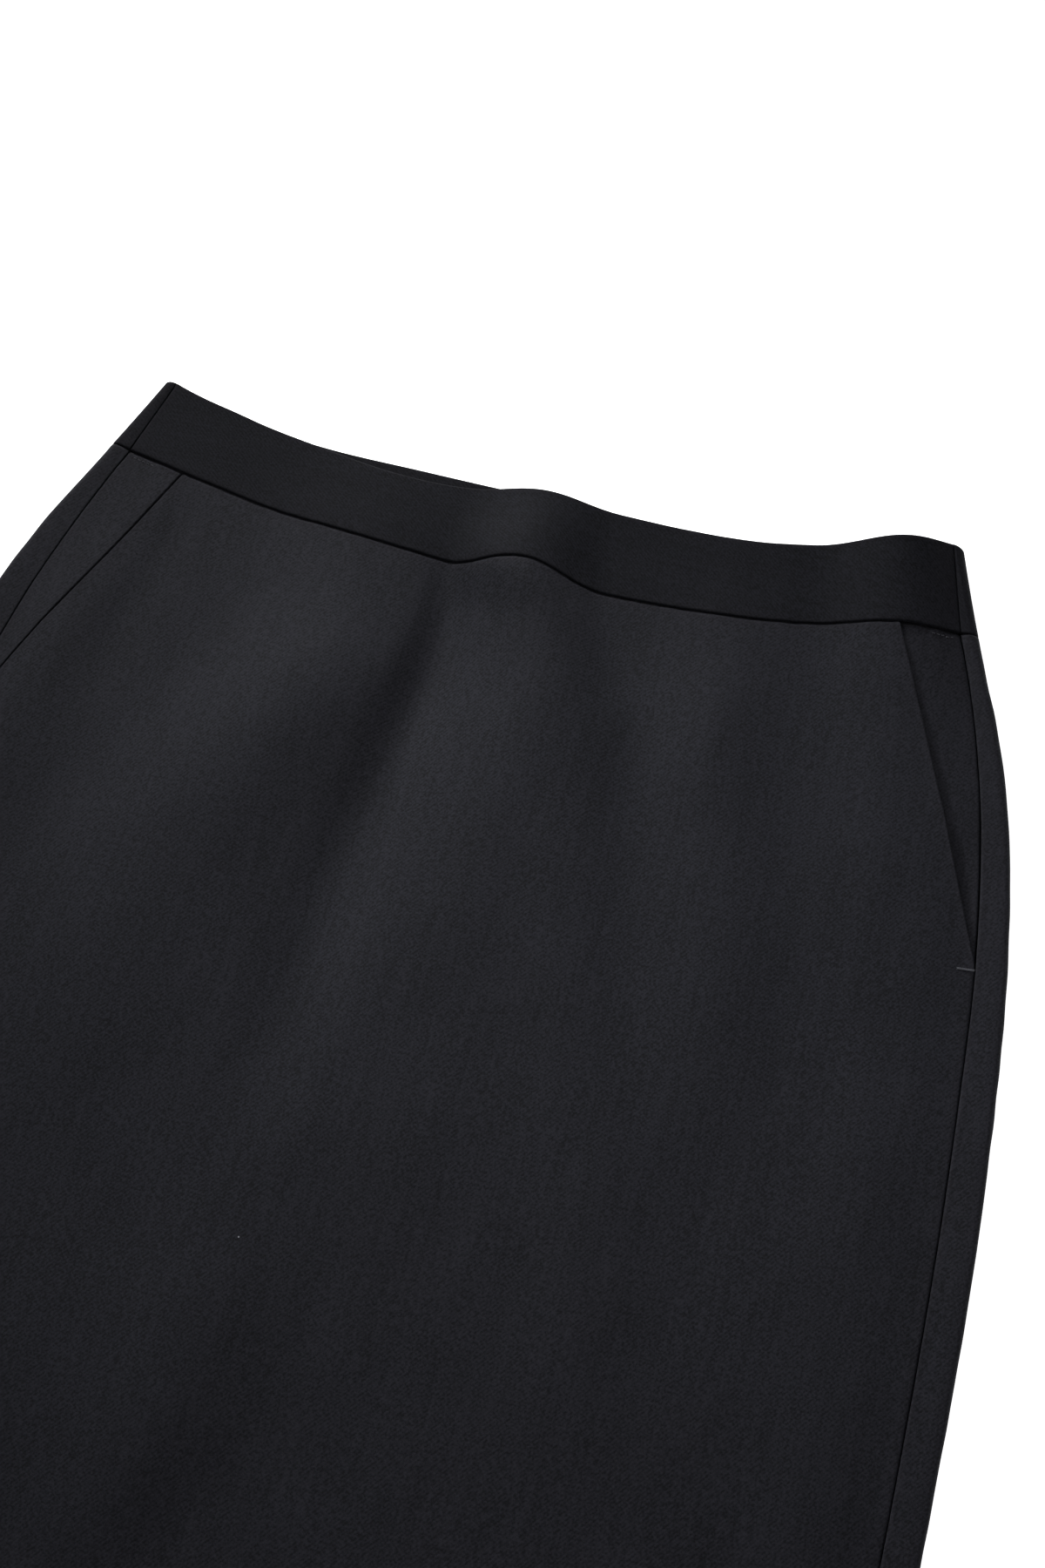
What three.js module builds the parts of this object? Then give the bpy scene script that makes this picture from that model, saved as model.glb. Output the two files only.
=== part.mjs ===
// A knee-length pencil skirt in black wool suiting, laid on its back on a flat surface.
// It has a shaped waistband with side seams, slanted front pockets, a centre-back zip and a
// centre-back walking slit. The side seams are rolled a little towards the front.
// Units are millimetres: X runs across the skirt, +Y runs up to the waist, +Z points up.
// The origin is on the resting surface, under the middle of the skirt.
import * as THREE from "three";

// Driving sizes
const LENGTH = 640; // top corners of the waistband to the hem
const BAND_RISE = 38; // waistband corner to corner along Y
const RAISED_END = 1.25; // the waistband's raised right end stands this much above its corners
const CLOTH = 1.2; // wall of one layer of suiting
const BAND_WALL = 1.8; // folded, interfaced waistband
const HEM_WALL = 2.0; // cloth and its turned-up hem
const HEM_DEPTH = 35;
const HEM_STEP = 0.6; // over which the wall thickens to the hem's
const SEAM_GAP = 0.3; // between neighbouring pieces
const LOFT = 6; // height of the front where no fold lifts it
const SEAM_SINK = 1.2; // how much lower the front lies beside a side seam
const SEAM_SINK_REACH = 22;
const ROLL_CROWN = 0.8; // the rolled side edge stands this much over its seam
const BAND_CROWN = 0.25; // the same on the waistband
const BAND_PROUD = 0.7; // the waistband stands this much over the skirt
const FRONT_DIP = 20.5; // the front waist seam dips this much at its middle
const BACK_DIP = 18;
const FRONT_TOP_DIP = 18; // the same for the waistband's top edge
const BACK_TOP_DIP = 15.4;
const TOP_CURVE_POWER = 3.5;
const POCKET_TOP = 159; // half width where the pocket's slant leaves the waist seam
const POCKET_END = 146; // how far down the slant meets the side seam
const POCKET_UNDERLAP = [24, 16, 8]; // columns of the hip piece under the front's edge
const POCKET_LEAST_WIDTH = 2.4;
const YOKE_RISE = 1.1; // the hip piece comes up towards the side seam by this
const YOKE_RISE_REACH = 20;
const YOKE_END = 165; // how far down the hip piece runs
const FRONT_SHIFT = 1.5; // the front and its seams lie this much to the right of the middle
const SHIFT_REACH = 90; // from the top edge down, until they do
const SLIT_LENGTH = 180;
const SLIT_WIDTH = 3;
const HEM_LIFT = 3; // the hem is this much higher at the side seams
const ZIP_LENGTH = 210;

const WAIST_Y = (LENGTH - RAISED_END) / 2 - BAND_RISE; // Y of the waist seam at the sides
const HEM_DOWN = LENGTH - BAND_RISE; // waist seam to hem
const YOKE_DROP = CLOTH + SEAM_GAP;

// Half widths down the skirt: its outline, and the side seam that shows inside it
const SIDES = [
  { down: -38, edge: 181, seam: 175.5 },
  { down: 0, edge: 194.3, seam: 185.5 },
  { down: 12, edge: 198.5, seam: 189.5 },
  { down: 47, edge: 211.5, seam: 199.6 },
  { down: 89, edge: 222.3, seam: 208.8 },
  { down: 145, edge: 230.6, seam: 216 },
  { down: 200, edge: 234.8, seam: 219 },
  { down: 270, edge: 237.3, seam: 221 },
  { down: 350, edge: 236.8, seam: 221 },
  { down: 430, edge: 234.7, seam: 219.5 },
  { down: 520, edge: 232, seam: 217 },
  { down: 602, edge: 229.3, seam: 214.5 },
];

// Soft folds of the front. Each follows stations down the skirt: where its crest lies across,
// how high it stands (below zero it is a trough) and how far it reaches to each side.
const FOLDS = {
  belly: [
    { down: -40, across: 0, height: 2, reach: 185 },
    { down: 15, across: 0, height: 0.5, reach: 185 },
    { down: 110, across: 0, height: 4.5, reach: 190 },
    { down: 260, across: 0, height: 3.5, reach: 190 },
    { down: 420, across: 0, height: 1, reach: 190 },
    { down: 602, across: 0, height: 0, reach: 190 },
  ],
  centreRidge: [
    { down: -40, across: 0, height: 3, reach: 34 },
    { down: -20, across: 0, height: 5, reach: 34 },
    { down: 18, across: -1, height: 13.5, reach: 38 },
    { down: 45, across: 12, height: 10.5, reach: 39 },
    { down: 80, across: 23, height: 8, reach: 42 },
    { down: 120, across: 23, height: 4.8, reach: 46 },
    { down: 180, across: 14, height: 2.3, reach: 49 },
    { down: 260, across: -1, height: 0.8, reach: 52 },
    { down: 340, across: -6, height: -1.2, reach: 56 },
    { down: 420, across: 0, height: 0, reach: 60 },
  ],
  leftBulge: [
    { down: -30, across: -75, height: 0, reach: 50 },
    { down: 15, across: -77, height: 3.6, reach: 49 },
    { down: 50, across: -75, height: 5.3, reach: 52 },
    { down: 90, across: -79, height: 8.8, reach: 57 },
    { down: 140, across: -96, height: 8.5, reach: 62 },
    { down: 190, across: -112, height: 6, reach: 66 },
    { down: 250, across: -121, height: 3.6, reach: 70 },
    { down: 320, across: -122, height: 1.2, reach: 70 },
    { down: 420, across: -128, height: 0, reach: 71 },
  ],
  sharpTrough: [
    { down: 5, across: -30, height: 0, reach: 16 },
    { down: 25, across: -31, height: -1.7, reach: 16 },
    { down: 50, across: -27, height: -4, reach: 16.5 },
    { down: 85, across: -28, height: -5, reach: 21 },
    { down: 125, across: -32, height: -3.2, reach: 21 },
    { down: 180, across: -39, height: -3.2, reach: 25 },
    { down: 240, across: -43, height: -2.4, reach: 27 },
    { down: 310, across: -48, height: 0, reach: 28 },
  ],
  leftSlope: [
    { down: 5, across: -151, height: 0, reach: 13 },
    { down: 40, across: -155, height: -1.1, reach: 14 },
    { down: 80, across: -159, height: -1.3, reach: 16 },
    { down: 130, across: -160, height: 0, reach: 18 },
  ],
  rightTrough: [
    { down: 8, across: 44, height: 0, reach: 19 },
    { down: 50, across: 47, height: -0.8, reach: 21 },
    { down: 110, across: 48, height: 1, reach: 26 },
    { down: 180, across: 58, height: 1.3, reach: 29 },
    { down: 250, across: 76, height: 1, reach: 30 },
    { down: 330, across: 92, height: 0, reach: 33 },
  ],
  rightBulge: [
    { down: -10, across: 90, height: 0, reach: 38 },
    { down: 30, across: 91, height: 2.1, reach: 36 },
    { down: 70, across: 95, height: 4.1, reach: 34 },
    { down: 120, across: 105, height: 3.1, reach: 35 },
    { down: 200, across: 112, height: 0.8, reach: 42 },
    { down: 320, across: 110, height: 0, reach: 49 },
  ],
  middleRight: [
    { down: 30, across: 120, height: 0, reach: 24 },
    { down: 90, across: 127, height: 1, reach: 29 },
    { down: 170, across: 129, height: 1.1, reach: 34 },
    { down: 250, across: 125, height: -0.5, reach: 35 },
    { down: 330, across: 120, height: 0, reach: 35 },
  ],
  raisedRightEnd: [
    { down: -45, across: 153, height: 13, reach: 36 },
    { down: 0, across: 160.5, height: 8.7, reach: 39 },
    { down: 50, across: 169, height: 3.7, reach: 39 },
    { down: 120, across: 173, height: 2.3, reach: 44 },
    { down: 200, across: 175, height: 0, reach: 43 },
  ],
  flatTopLeft: [
    { down: -40, across: -65, height: -4, reach: 95 },
    { down: -15, across: -65, height: -1.5, reach: 95 },
    { down: 10, across: -65, height: 0, reach: 95 },
  ],
  flatTopRight: [
    { down: -40, across: 62, height: -3, reach: 60 },
    { down: -15, across: 62, height: -1, reach: 60 },
    { down: 10, across: 62, height: 0, reach: 60 },
  ],
  leftPocketRidge: [
    { down: 40, across: -180, height: 0, reach: 26 },
    { down: 110, across: -188, height: 2.6, reach: 26 },
    { down: 170, across: -189, height: 1.5, reach: 27 },
    { down: 260, across: -190, height: 0, reach: 27 },
  ],
  rightSide: [
    { down: 180, across: 181, height: 0, reach: 24 },
    { down: 240, across: 187, height: 1, reach: 26 },
    { down: 300, across: 187, height: 0.6, reach: 27 },
    { down: 370, across: 188, height: 1.1, reach: 27 },
    { down: 440, across: 185, height: 0, reach: 25 },
  ],
  lowerCentre: [
    { down: 220, across: 14, height: 0, reach: 30 },
    { down: 280, across: 19, height: 1.3, reach: 30 },
    { down: 340, across: 17, height: 0.1, reach: 32 },
    { down: 400, across: 14, height: -1, reach: 35 },
    { down: 480, across: 12, height: 0, reach: 36 },
  ],
  lowerLeft: [
    { down: 260, across: -36, height: 0, reach: 35 },
    { down: 310, across: -39, height: 0.5, reach: 41 },
    { down: 350, across: -41, height: 3.6, reach: 44 },
    { down: 390, across: -45, height: 4.7, reach: 44 },
    { down: 430, across: -57, height: 3.8, reach: 39 },
    { down: 480, across: -63, height: 2.3, reach: 44 },
    { down: 540, across: -70, height: 1.5, reach: 50 },
    { down: 602, across: -75, height: 1.5, reach: 50 },
  ],
  leftFlank: [
    { down: 250, across: -112, height: 0, reach: 34 },
    { down: 310, across: -103, height: -0.8, reach: 38 },
    { down: 370, across: -94, height: 2.8, reach: 40 },
    { down: 430, across: -95, height: 2.6, reach: 40 },
    { down: 500, across: -100, height: 0, reach: 40 },
  ],
  lowerRight: [
    { down: 260, across: 92, height: 0, reach: 33 },
    { down: 320, across: 95, height: 1.3, reach: 33 },
    { down: 380, across: 97, height: 0.7, reach: 35 },
    { down: 450, across: 99, height: 0.6, reach: 36 },
    { down: 540, across: 98, height: 1, reach: 40 },
    { down: 602, across: 98, height: 1, reach: 44 },
  ],
  hemWave: [
    { down: 420, across: 140, height: 0, reach: 50 },
    { down: 520, across: 140, height: 2, reach: 55 },
    { down: 602, across: 142, height: 3, reach: 55 },
  ],
};

// Where the waist seam and the top edge are drawn up along Y, or down where it is below zero
const DRIFTS = [
  { across: 0, reach: 30, atTop: 1, atSeam: 3, onBack: false },
  { across: 142, reach: 58, atTop: 3.3, atSeam: 2, onBack: true },
  { across: 95, reach: 60, atTop: 0, atSeam: -1, onBack: false },
  { across: -58, reach: 60, atTop: -4.8, atSeam: 0, onBack: false },
  { across: -85, reach: 90, atTop: 0, atSeam: -2.5, onBack: false },
  { across: -112, reach: 60, atTop: -1.5, atSeam: 0, onBack: true },
  { across: -172, reach: 36, atTop: -1.6, atSeam: 0, onBack: true },
];
const DRIFT_FADE = 120;

// Rows of every piece down the skirt, closer where the form changes faster
const ROWS = [
  0, 10, 22, 36, 52, 70, 90, 112, 130, 146, 165, 190, 220, 250, 280, 310, 340, 370, 400, 430,
  460, 490, 520, 545, HEM_DOWN - HEM_DEPTH, HEM_DOWN - HEM_DEPTH + HEM_STEP, 585, HEM_DOWN,
];
const YOKE_ROWS = ROWS.filter((down) => down <= YOKE_END);
const BAND_ROWS = [0, 1 / 3, 2 / 3, 1]; // share of the waistband's height
const FRONT_INNER_COLUMNS = 36;
const BAND_SIDE_COLUMNS = 3;
const BACK_FLAT_COLUMNS = 6;
const ROLL_COLUMNS = 6;
const ROLL_TOP_COLUMNS = 3;

const clamp = (value, low, high) => Math.min(Math.max(value, low), high);
const mix = THREE.MathUtils.lerp;
const ease = (share) => THREE.MathUtils.smoothstep(share, 0, 1);

// A rounded bump: 1 on its crest, 0 from its reach outwards.
function bump(distance, reach) {
  if (Math.abs(distance) >= reach) return 0;
  return Math.cos((Math.PI / 2) * (distance / reach)) ** 2;
}

// Reads one column of a table of stations, on a smooth curve through its rows.
function along(table, down, column) {
  const last = table.length - 1;
  const place = clamp(down, table[0].down, table[last].down);
  let i = 0;
  while (i < last - 1 && table[i + 1].down < place) i += 1;
  const slope = (k) => {
    const before = table[Math.max(k - 1, 0)];
    const after = table[Math.min(k + 1, last)];
    return (after[column] - before[column]) / (after.down - before.down);
  };
  const step = table[i + 1].down - table[i].down;
  const t = (place - table[i].down) / step;
  return (
    table[i][column] * (2 * t ** 3 - 3 * t ** 2 + 1) +
    table[i + 1][column] * (3 * t ** 2 - 2 * t ** 3) +
    slope(i) * step * (t ** 3 - 2 * t ** 2 + t) +
    slope(i + 1) * step * (t ** 3 - t ** 2)
  );
}

const edgeAt = (down) => along(SIDES, down, "edge");
const seamAt = (down) => along(SIDES, down, "seam");
const shiftAt = (down) => FRONT_SHIFT * ease(clamp((down + BAND_RISE) / SHIFT_REACH, 0, 1));

// Half width of the front panel: the pocket's slant first, then the side seam.
function frontHalfWidth(down) {
  const slant = mix(POCKET_TOP, seamAt(POCKET_END), down / POCKET_END);
  return down < POCKET_END ? slant : seamAt(down) - SEAM_GAP / 2;
}

// Height of the front's outer face over the resting surface.
function frontHeight(x, y) {
  const down = WAIST_Y - y;
  let height = LOFT;
  for (const stations of Object.values(FOLDS)) {
    const first = stations[0].down;
    const last = stations[stations.length - 1].down;
    if (down < first || down > last + 1) continue;
    const reach = along(stations, down, "reach");
    height += along(stations, down, "height") * bump(x - along(stations, down, "across"), reach);
  }
  const fromSeam = Math.max(seamAt(down) - Math.abs(x - shiftAt(down)), 0);
  const sink = ease(clamp(1 - fromSeam / SEAM_SINK_REACH, 0, 1));
  return height - SEAM_SINK * sink * clamp(down / POCKET_END, 0, 1);
}

// How far a fold draws the cloth up along Y, at a share of the way from seam to top edge.
function drift(x, down, share, onBack) {
  const fade = clamp(1 - down / DRIFT_FADE, 0, 1);
  return DRIFTS.filter((row) => row.onBack || !onBack).reduce((sum, row) => {
    return sum + mix(row.atSeam, row.atTop, share) * bump(x - row.across, row.reach) * fade;
  }, 0);
}

// Y of a point of a row. The waist seam's dip fades out towards the hem.
function rowY(x, down, dip, onBack) {
  const cup = Math.max(1 - (x / edgeAt(0)) ** 2, 0);
  const fade = 1 - down / HEM_DOWN;
  const hem = HEM_LIFT * (x / edgeAt(HEM_DOWN)) ** 2 * (1 - fade);
  return WAIST_Y - down - dip * cup * fade + hem + drift(x, down, 0, onBack);
}

// Y of a point on the waistband's top edge.
function topY(x, dip, onBack) {
  const across = Math.min(Math.abs(x) / seamAt(-BAND_RISE), 1);
  const rise = dip * (1 - across ** TOP_CURVE_POWER);
  return WAIST_Y + BAND_RISE - rise + drift(x, 0, 1, onBack);
}

const wallAt = (down) => (down > HEM_DOWN - HEM_DEPTH ? HEM_WALL : CLOTH);

// A closed solid between two grids of points of the same shape, with a rim round them.
function wallBetween(outer, inner) {
  const rows = outer.length;
  const columns = outer[0].length;
  const points = [...outer.flat(), ...inner.flat()];
  const index = (face, i, j) => face * rows * columns + i * columns + j;
  const faces = [];
  const quad = (a, b, c, d) => faces.push(a, b, c, a, c, d);
  for (let i = 0; i < rows - 1; i += 1) {
    for (let j = 0; j < columns - 1; j += 1) {
      quad(index(0, i, j), index(0, i + 1, j), index(0, i + 1, j + 1), index(0, i, j + 1));
      quad(index(1, i, j), index(1, i, j + 1), index(1, i + 1, j + 1), index(1, i + 1, j));
    }
  }
  for (let i = 0; i < rows - 1; i += 1) {
    const far = columns - 1;
    quad(index(0, i, 0), index(1, i, 0), index(1, i + 1, 0), index(0, i + 1, 0));
    quad(index(0, i, far), index(0, i + 1, far), index(1, i + 1, far), index(1, i, far));
  }
  for (let j = 0; j < columns - 1; j += 1) {
    const far = rows - 1;
    quad(index(0, 0, j), index(0, 0, j + 1), index(1, 0, j + 1), index(1, 0, j));
    quad(index(0, far, j), index(1, far, j), index(1, far, j + 1), index(0, far, j + 1));
  }
  const volume = (a, b, c) => points[a].dot(new THREE.Vector3().crossVectors(points[b], points[c]));
  let total = 0;
  for (let k = 0; k < faces.length; k += 3) total += volume(faces[k], faces[k + 1], faces[k + 2]);
  const geometry = new THREE.BufferGeometry().setFromPoints(points);
  geometry.setIndex(total < 0 ? faces.reverse() : faces);
  geometry.computeVertexNormals();
  return geometry;
}

const lowered = (grid, depth) => {
  return grid.map((row, i) => row.map((p) => new THREE.Vector3(p.x, p.y, p.z - depth(i))));
};

// Places across the front: columns a fixed distance in from each edge, even ones between.
function frontColumns(halfWidth) {
  const inner = halfWidth - POCKET_UNDERLAP[0];
  const rim = POCKET_UNDERLAP.slice(1).map((inset) => halfWidth - inset);
  const middle = Array.from({ length: FRONT_INNER_COLUMNS + 1 }, (_, k) => {
    return inner * ((2 * k) / FRONT_INNER_COLUMNS - 1);
  });
  const right = [...rim, halfWidth];
  return [...right.map((x) => -x).reverse(), ...middle, ...right];
}

function frontPanel() {
  const outer = ROWS.map((down) => {
    return frontColumns(frontHalfWidth(down)).map((column) => {
      const x = column + shiftAt(down);
      const y = rowY(x, down, FRONT_DIP, false) - (down === 0 ? SEAM_GAP / 2 : 0);
      return new THREE.Vector3(x, y, frontHeight(x, y));
    });
  });
  return wallBetween(
    outer,
    lowered(outer, (i) => wallAt(ROWS[i])),
  );
}

// The hip piece under a pocket's slant: it shows between the slant and the side seam.
function pocketYoke(side) {
  const outer = YOKE_ROWS.map((down) => {
    const seam = seamAt(down) - SEAM_GAP / 2;
    const slant = Math.min(frontHalfWidth(down), seam - POCKET_LEAST_WIDTH);
    const shown = [0, 1 / 3, 2 / 3, 1].map((share) => mix(slant, seam, share));
    const row = [...POCKET_UNDERLAP.map((inset) => slant - inset), ...shown].map((across) => {
      const x = side * across + shiftAt(down);
      const y = rowY(x, down, FRONT_DIP, false) - (down === 0 ? SEAM_GAP / 2 : 0);
      const rise = YOKE_RISE * ease(clamp((across - slant) / YOKE_RISE_REACH, 0, 1));
      return new THREE.Vector3(x, y, frontHeight(x, y) - YOKE_DROP + rise);
    });
    // left to right, as on the front, so that the two surfaces are divided alike
    return side < 0 ? row.reverse() : row;
  });
  return wallBetween(
    outer,
    lowered(outer, () => CLOTH),
  );
}

// One row of a back piece: flat from the centre back, round the side, and in to the seam.
// Each place has the wall's middle line and its outward direction in the X-Z plane. The roll
// stands over the seam by its rise.
function backRow(side, down, wall, proud, rise, startX) {
  const seam = seamAt(down) + SEAM_GAP / 2 + side * shiftAt(down);
  const edge = edgeAt(down);
  const atSeam = frontHeight(side * seam, WAIST_Y - down) + proud;
  const crown = atSeam + rise;
  const radius = (crown - wall) / 2;
  const turn = edge - wall / 2 - radius;
  const places = [];
  for (let k = 0; k <= BACK_FLAT_COLUMNS; k += 1) {
    places.push({ x: mix(startX, turn, k / BACK_FLAT_COLUMNS), z: wall / 2, nx: 0, nz: -1 });
  }
  for (let k = 1; k <= ROLL_COLUMNS; k += 1) {
    const angle = Math.PI * (k / ROLL_COLUMNS - 0.5);
    const [nx, nz] = [Math.cos(angle), Math.sin(angle)];
    places.push({ x: turn + radius * nx, z: wall / 2 + radius + radius * nz, nx, nz });
  }
  for (let k = 1; k <= ROLL_TOP_COLUMNS; k += 1) {
    const share = k / ROLL_TOP_COLUMNS;
    const z = mix(crown, atSeam, ease(share)) - wall / 2;
    places.push({ x: mix(turn, seam, share), z, nx: 0, nz: 1 });
  }
  return places;
}

// Outer and inner points of a row of a back piece, at the Y that yOf gives.
function faces(places, side, wall, yOf) {
  const shifted = (sign) => {
    return places.map(({ x, z, nx, nz }) => {
      const half = (sign * wall) / 2;
      return new THREE.Vector3(side * (x + half * nx), yOf(side * x), z + half * nz);
    });
  };
  return { outer: shifted(1), inner: shifted(-1) };
}

function backPanel(side) {
  const rows = ROWS.map((down) => {
    const wall = wallAt(down);
    const open = SLIT_WIDTH * ease(clamp((down - HEM_DOWN + SLIT_LENGTH) / SLIT_LENGTH, 0, 1));
    const start = (SEAM_GAP + open) / 2;
    const gap = down === 0 ? SEAM_GAP / 2 : 0;
    const yOf = (x) => rowY(x, down, BACK_DIP, true) - gap;
    return faces(backRow(side, down, wall, 0, ROLL_CROWN, start), side, wall, yOf);
  });
  return wallBetween(
    rows.map((row) => row.outer),
    rows.map((row) => row.inner),
  );
}

function backBand(side) {
  const rowAt = (down) => backRow(side, down, BAND_WALL, BAND_PROUD, BAND_CROWN, SEAM_GAP / 2);
  const seamRow = rowAt(0);
  const topRow = rowAt(-BAND_RISE);
  const rows = BAND_ROWS.map((share) => {
    const places = seamRow.map((low, k) => {
      const high = topRow[k];
      return { ...low, x: mix(low.x, high.x, share), z: mix(low.z, high.z, share) };
    });
    const yOf = (x) => {
      const low = rowY(x, 0, BACK_DIP, true) + SEAM_GAP / 2;
      return mix(low, topY(x, BACK_TOP_DIP, true), share);
    };
    return faces(places, side, BAND_WALL, yOf);
  });
  return wallBetween(
    rows.map((row) => row.outer),
    rows.map((row) => row.inner),
  );
}

function frontBand() {
  const seam = seamAt(0) - SEAM_GAP / 2;
  const extra = Array.from({ length: BAND_SIDE_COLUMNS }, (_, k) => {
    return mix(POCKET_TOP, seam, (k + 1) / BAND_SIDE_COLUMNS);
  });
  const columns = [...extra.map((x) => -x).reverse(), ...frontColumns(POCKET_TOP), ...extra];
  const narrowing = (seamAt(-BAND_RISE) - SEAM_GAP / 2) / seam;
  const outer = BAND_ROWS.map((share) => {
    return columns.map((column) => {
      const low = column + shiftAt(0);
      const high = column * narrowing + shiftAt(-BAND_RISE);
      const x = mix(low, high, share);
      const lowY = rowY(low, 0, FRONT_DIP, false) + SEAM_GAP / 2;
      const y = mix(lowY, topY(high, FRONT_TOP_DIP, false), share);
      return new THREE.Vector3(x, y, frontHeight(x, y) + BAND_PROUD);
    });
  });
  return wallBetween(
    outer,
    lowered(outer, () => BAND_WALL),
  );
}

// The closed zip inside the centre-back seam: its tape with the coil standing on it.
const ZIP = { tapeHalf: 12, tape: 0.7, coilFoot: 2.5, coilTop: 1.5, coil: 1.4 };
const ZIP_BASE = BAND_WALL + SEAM_GAP;
const ZIP_INSET = 2; // below the waistband's top edge
const ZIP_TOP_Y = WAIST_Y + BAND_RISE - BACK_TOP_DIP - ZIP_INSET;
// The slider's plate, seen from above: its straight end, its widest place and its round end
const SLIDER = { length: 9, end: 2.2, wide: 3.4, flare: 4.5, shoulder: 7.2, crown: 9.9, height: 2.4 };

function zipTape() {
  const { tapeHalf, tape, coilFoot, coilTop, coil } = ZIP;
  const section = new THREE.Shape([
    new THREE.Vector2(-tapeHalf, 0),
    new THREE.Vector2(tapeHalf, 0),
    new THREE.Vector2(tapeHalf, tape),
    new THREE.Vector2(coilFoot, tape),
    new THREE.Vector2(coilTop, tape + coil),
    new THREE.Vector2(-coilTop, tape + coil),
    new THREE.Vector2(-coilFoot, tape),
    new THREE.Vector2(-tapeHalf, tape),
  ]);
  const settings = { depth: ZIP_LENGTH - SLIDER.length, bevelEnabled: false };
  return new THREE.ExtrudeGeometry(section, settings).rotateX(Math.PI / 2);
}

function zipSlider() {
  const { end, wide, flare, shoulder, crown, height } = SLIDER;
  const plate = new THREE.Shape();
  plate.moveTo(-end, 0);
  plate.lineTo(end, 0);
  plate.quadraticCurveTo(wide, flare, wide, shoulder);
  plate.quadraticCurveTo(0, crown, -wide, shoulder);
  plate.quadraticCurveTo(-wide, flare, -end, 0);
  const settings = { depth: height, bevelEnabled: false, curveSegments: 5 };
  return new THREE.ExtrudeGeometry(plate, settings);
}

const suiting = { color: "#26272b", roughness: 0.82, metalness: 0 };
const bandCloth = { color: "#202125", roughness: 0.82, metalness: 0 };
const nylon = { color: "#1a1a1c", roughness: 0.6, metalness: 0 };
const enamelledMetal = { color: "#18181a", roughness: 0.35, metalness: 0.6 };

const skirt = new THREE.Group();

function add(name, geometry, finish, place = [0, 0, 0]) {
  const mesh = new THREE.Mesh(geometry, new THREE.MeshStandardMaterial(finish));
  mesh.name = name;
  mesh.position.set(...place);
  skirt.add(mesh);
}

add("front_panel", frontPanel(), suiting);
add("front_waistband", frontBand(), bandCloth);
for (const [label, side] of [
  ["left", -1],
  ["right", 1],
]) {
  add(`pocket_yoke_${label}`, pocketYoke(side), suiting);
  add(`back_panel_${label}`, backPanel(side), suiting);
  add(`back_waistband_${label}`, backBand(side), bandCloth);
}
add("zip_tape", zipTape(), nylon, [0, ZIP_TOP_Y - SLIDER.length - SEAM_GAP, ZIP_BASE]);
add("zip_slider", zipSlider(), enamelledMetal, [0, ZIP_TOP_Y - SLIDER.length, ZIP_BASE]);

export default skirt;
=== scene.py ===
"""A knee-length pencil skirt in fine black suiting, laid on its back on a white table.

The seams, turned edges, folds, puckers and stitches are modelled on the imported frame.
Lengths are millimetres until a mesh is made: +X across the skirt, +Y up to the waist, +Z up.
"""

import math

import bpy
import numpy as np
from mathutils import Matrix, Vector


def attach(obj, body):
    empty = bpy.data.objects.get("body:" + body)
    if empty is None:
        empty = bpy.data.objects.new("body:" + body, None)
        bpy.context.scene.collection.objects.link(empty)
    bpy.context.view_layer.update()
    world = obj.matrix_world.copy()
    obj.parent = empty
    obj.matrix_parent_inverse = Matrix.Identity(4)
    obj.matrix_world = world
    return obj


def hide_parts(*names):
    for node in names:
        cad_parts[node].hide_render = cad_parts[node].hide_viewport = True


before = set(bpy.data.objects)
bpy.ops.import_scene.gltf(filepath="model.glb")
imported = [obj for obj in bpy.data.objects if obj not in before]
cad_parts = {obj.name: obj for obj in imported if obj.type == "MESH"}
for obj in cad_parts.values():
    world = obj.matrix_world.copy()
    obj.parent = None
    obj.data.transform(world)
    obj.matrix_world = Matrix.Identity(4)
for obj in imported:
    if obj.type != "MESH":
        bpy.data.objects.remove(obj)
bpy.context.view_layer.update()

MM = 0.001

# The cut, as in the part's source
LENGTH = 640
BAND_RISE = 38
RAISED_END = 1.25
CLOTH = 1.2
BAND_WALL = 1.8
HEM_WALL = 2.0
HEM_DEPTH = 35
SEAM_GAP = 0.3
LOFT = 6
SEAM_SINK = 1.2
SEAM_SINK_REACH = 22
ROLL_CROWN = 0.8
BAND_CROWN = 0.25
BAND_PROUD = 0.7
FRONT_DIP = 20.5
BACK_DIP = 18
FRONT_TOP_DIP = 18
BACK_TOP_DIP = 15.4
TOP_CURVE_POWER = 3.5
POCKET_TOP = 159
POCKET_END = 146
YOKE_UNDERLAP = 24
YOKE_END = 165
POCKET_LEAST_WIDTH = 2.4
YOKE_RISE = 1.1
YOKE_RISE_REACH = 20
FRONT_SHIFT = 1.5
SHIFT_REACH = 90
SLIT_LENGTH = 180
SLIT_WIDTH = 3
HEM_LIFT = 3

WAIST_Y = (LENGTH - RAISED_END) / 2 - BAND_RISE
HEM_DOWN = LENGTH - BAND_RISE
YOKE_DROP = CLOTH + SEAM_GAP

# Half widths down the skirt. Columns: down, outline, side seam
SIDES = [
    (-38, 181, 175.5),
    (0, 194.3, 185.5),
    (12, 198.5, 189.5),
    (47, 211.5, 199.6),
    (89, 222.3, 208.8),
    (145, 230.6, 216),
    (200, 234.8, 219),
    (270, 237.3, 221),
    (350, 236.8, 221),
    (430, 234.7, 219.5),
    (520, 232, 217),
    (602, 229.3, 214.5),
]

FOLD_OVERRUN = 1  # a fold runs on past its last station by this, so the hem's rim has it too

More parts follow.
